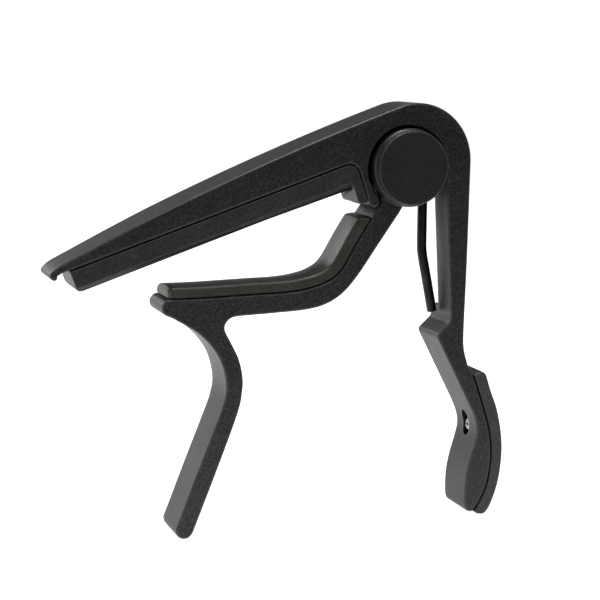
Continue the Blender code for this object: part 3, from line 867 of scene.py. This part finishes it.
def wire(name, path, radius, finish, sides):
    """Round wire along a path of points, with a broken edge at both cut ends."""
    trim = radius * 0.18
    first = (path[1] - path[0]).normalized()
    last = (path[-1] - path[-2]).normalized()
    route = [path[0], path[0] + first * trim] + path[1:-1] + [path[-1] - last * trim, path[-1]]
    work = bmesh.new()
    layer = work.loops.layers.uv.new("wire")
    loops = []
    lengths = [0.0]
    across = Vector((0.0, 1.0, 0.0))
    for i, point in enumerate(route):
        ahead = route[min(i + 1, len(route) - 1)]
        behind = route[max(i - 1, 0)]
        along = (ahead - behind).normalized()
        across = (across - along * across.dot(along)).normalized()
        third = along.cross(across)
        size = radius - trim if i in (0, len(route) - 1) else radius
        loop = []
        for k in range(sides):
            turn = 2 * math.pi * k / sides
            loop.append(point + size * (math.cos(turn) * across + math.sin(turn) * third))
        loops.append(loop)
        if i > 0:
            lengths.append(lengths[-1] + (point - behind).length)
    rings = loft(work, loops)
    row_of = {vert: i for i, ring in enumerate(rings) for vert in ring}
    turn_of = {vert: k / sides for ring in rings for k, vert in enumerate(ring)}
    for face in work.faces:
        wraps = max(turn_of[v] for v in face.verts) > 0.9
        for corner in face.loops:
            turn = turn_of[corner.vert]
            if wraps and turn < 0.1:
                turn += 1.0
            corner[layer].uv = (turn, lengths[row_of[corner.vert]] * MM)
    piece = place(name, finish_mesh(work, name), finish)
    smooth(piece, 40.0)
    return piece


def rounded(corners, radius, steps=4):
    """A turned profile with each of its outer corners rounded."""
    points = []
    for i, (r, y, cut) in enumerate(corners):
        if not cut:
            points.append((r, y))
            continue
        here = Vector((r, y))
        before = (Vector(corners[i - 1][:2]) - here).normalized() * radius
        after = (Vector(corners[(i + 1) % len(corners)][:2]) - here).normalized() * radius
        for k in range(steps + 1):
            t = k / steps
            point = here + before * (1 - t) ** 2 + after * t ** 2
            points.append((point.x, point.y))
    return points


def make_pivot(steel, plastic, clip_steel, cap_finish):
    """Pin, spool, clip and the two caps."""
    head = -BOSS_FACE + 1.1 - GAP
    pin = rounded([(0.0, 7.0, 0), (PIN_R, 7.0, 1), (PIN_R, 6.6, 0), (1.95, 6.6, 0),
                   (1.95, 5.95, 0), (PIN_R, 5.95, 0), (PIN_R, head, 0), (HEAD_R, head, 0),
                   (HEAD_R, head - 1.0, 1), (0.0, head - 1.0, 0)], 0.25)
    piece = turned("pivot_pin_steel", pin, steel, 96)
    smooth(piece)
    dress(piece, "frame", "pivot_pin")

    spool = rounded([(BORE_R, -3.9, 0), (4.7, -3.9, 1), (4.7, 3.0, 1), (BORE_R, 3.0, 0)], 0.25)
    piece = turned("spring_spool_nylon", spool, plastic, 96)
    smooth(piece)
    dress(piece, "frame", "spring_spool")

    outline = arc(0.0, 0.0, 4.0, -50.0, 230.0, 72) + arc(0.0, 0.0, 2.25, 230.0, -50.0, 60)
    piece = prism("retaining_clip_steel", outline, 6.06, 6.5, clip_steel, 0.06, 2)
    smooth(piece)
    dress(piece, "frame", "retaining_clip")

    inner = BOSS_FACE + GAP
    outer = inner + CAP_THICK
    for node, body, side in (("front_cap", "jaw", -1.0), ("rear_cap", "frame", 1.0)):
        profile = rounded([(0.0, inner + 0.5, 0), (5.2, inner + 0.5, 0), (5.2, inner, 0),
                           (CAP_R, inner, 0), (CAP_R, outer, 1), (0.0, outer, 0)], 0.34, 6)
        piece = turned(node + "_moulding", [(r, side * y) for r, y in profile], cap_finish, 160)
        smooth(piece)
        dress(piece, body, node)


# Stage ------------------------------------------------------------------------------------

def studio_world():
    """White all round at the horizon behind, dimmer overhead and in front."""
    world = bpy.data.worlds.new("studio")
    bpy.context.scene.world = world
    world.use_nodes = True
    sky = Nodes(world.node_tree)
    way = sky.node("ShaderNodeSeparateXYZ")
    sky.link(sky.node("ShaderNodeTexCoord").outputs["Generated"], way.inputs["Vector"])
    low = sky.ramp(way.outputs["Z"], 0.34, 0.06)
    behind = sky.ramp(way.outputs["Y"], -0.3, 0.3)
    wall = sky.math("MULTIPLY", low, sky.math("MULTIPLY", behind, 1.0 - OVERHEAD))
    back = world.node_tree.nodes["Background"]
    sky.link(sky.math("ADD", wall, OVERHEAD), back.inputs["Strength"])
    back.inputs["Color"].default_value = (1.0, 1.0, 1.0, 1.0)


def make_stage():
    """A pale floor that glows, strongly behind the object and barely in front, soft light and the
    camera.
    """
    floor_mesh = bpy.data.meshes.new("floor")
    corners = [(x * FLOOR_REACH, y * FLOOR_REACH, 0.0)
               for x, y in ((-1, -1), (1, -1), (1, 1), (-1, 1))]
    floor_mesh.from_pydata(corners, [], [(0, 1, 2, 3)])
    floor = bpy.data.objects.new("floor", floor_mesh)
    bpy.context.scene.collection.objects.link(floor)
    floor_glow = Finish("glowing_floor")
    tone = floor_glow.ramp(floor_glow.noise(40.0, 3.0), 0.3, 0.7)
    floor_glow.colour(floor_glow.mix(tone, (0.44, 0.44, 0.44), (0.46, 0.46, 0.46)))
    depth = floor_glow.node("ShaderNodeSeparateXYZ")
    floor_glow.link(floor_glow.place, depth.inputs["Vector"])
    # The floor glows: its emission rises from almost none in front of the object to full strength
    # behind it.
    floor_glow.link(floor_glow.ramp(depth.outputs["Y"], -0.11, -0.055, 0.02, FLOOR_GLOW),
               floor_glow.shader.inputs["Emission Strength"])
    floor_glow.constant(Roughness=0.9, Specular_IOR_Level=0.1, Emission_Color=(1.0, 1.0, 1.0, 1.0))
    floor_mesh.materials.append(floor_glow.material)

    studio_world()
    for name, spot, size, power in LAMPS:
        light = bpy.data.lights.new(name, "AREA")
        light.shape = "SQUARE"
        light.size = size
        light.energy = power
        lamp = bpy.data.objects.new(name, light)
        bpy.context.scene.collection.objects.link(lamp)
        lamp.location = spot
        lamp.rotation_euler = (LAMP_TARGET - Vector(spot)).to_track_quat("-Z", "Y").to_euler()

    eye = bpy.data.cameras.new("camera")
    eye.lens = EYE_LENS
    eye.sensor_width = SENSOR
    eye.clip_start = 0.01
    camera = bpy.data.objects.new("camera", eye)
    bpy.context.scene.collection.objects.link(camera)
    back = EYE_RIGHT.cross(EYE_UP)
    turn = Matrix((EYE_RIGHT, EYE_UP, back)).transposed().to_4x4()
    camera.matrix_world = Matrix.Translation(PIVOT + EYE * MM) @ turn
    bpy.context.scene.camera = camera
    bpy.context.scene.view_settings.view_transform = "Standard"


coat = powder_coat("black_powder_coat", (0.001, 0.001, 0.0011), (0.034, 0.034, 0.035), 0.42)
cap_coat = powder_coat("black_cap", (0.001, 0.001, 0.0011), (0.031, 0.031, 0.032), 0.40)
make_stage()
make_frame(coat)
make_jaw(coat)
make_fret_pad(moulded_rubber("fret_rubber", (0.008, 0.008, 0.008), (0.042, 0.042, 0.041), 0.46))
make_neck_pad(silicone("neck_rubber", (0.018, 0.019, 0.014), (0.050, 0.052, 0.042)))
make_cover(moulded_rubber("cover_rubber", (0.014, 0.014, 0.014), (0.060, 0.060, 0.059), 0.48))
make_cover_screw(plated_steel("screw_plating", (0.36, 0.36, 0.35), 0.22, False))
make_spring(drawn_wire("spring_wire"))
make_pivot(plated_steel("pin_steel", (0.56, 0.55, 0.54), 0.30), nylon("spool_nylon"),
           plated_steel("clip_steel", (0.38, 0.38, 0.39), 0.34), cap_coat)
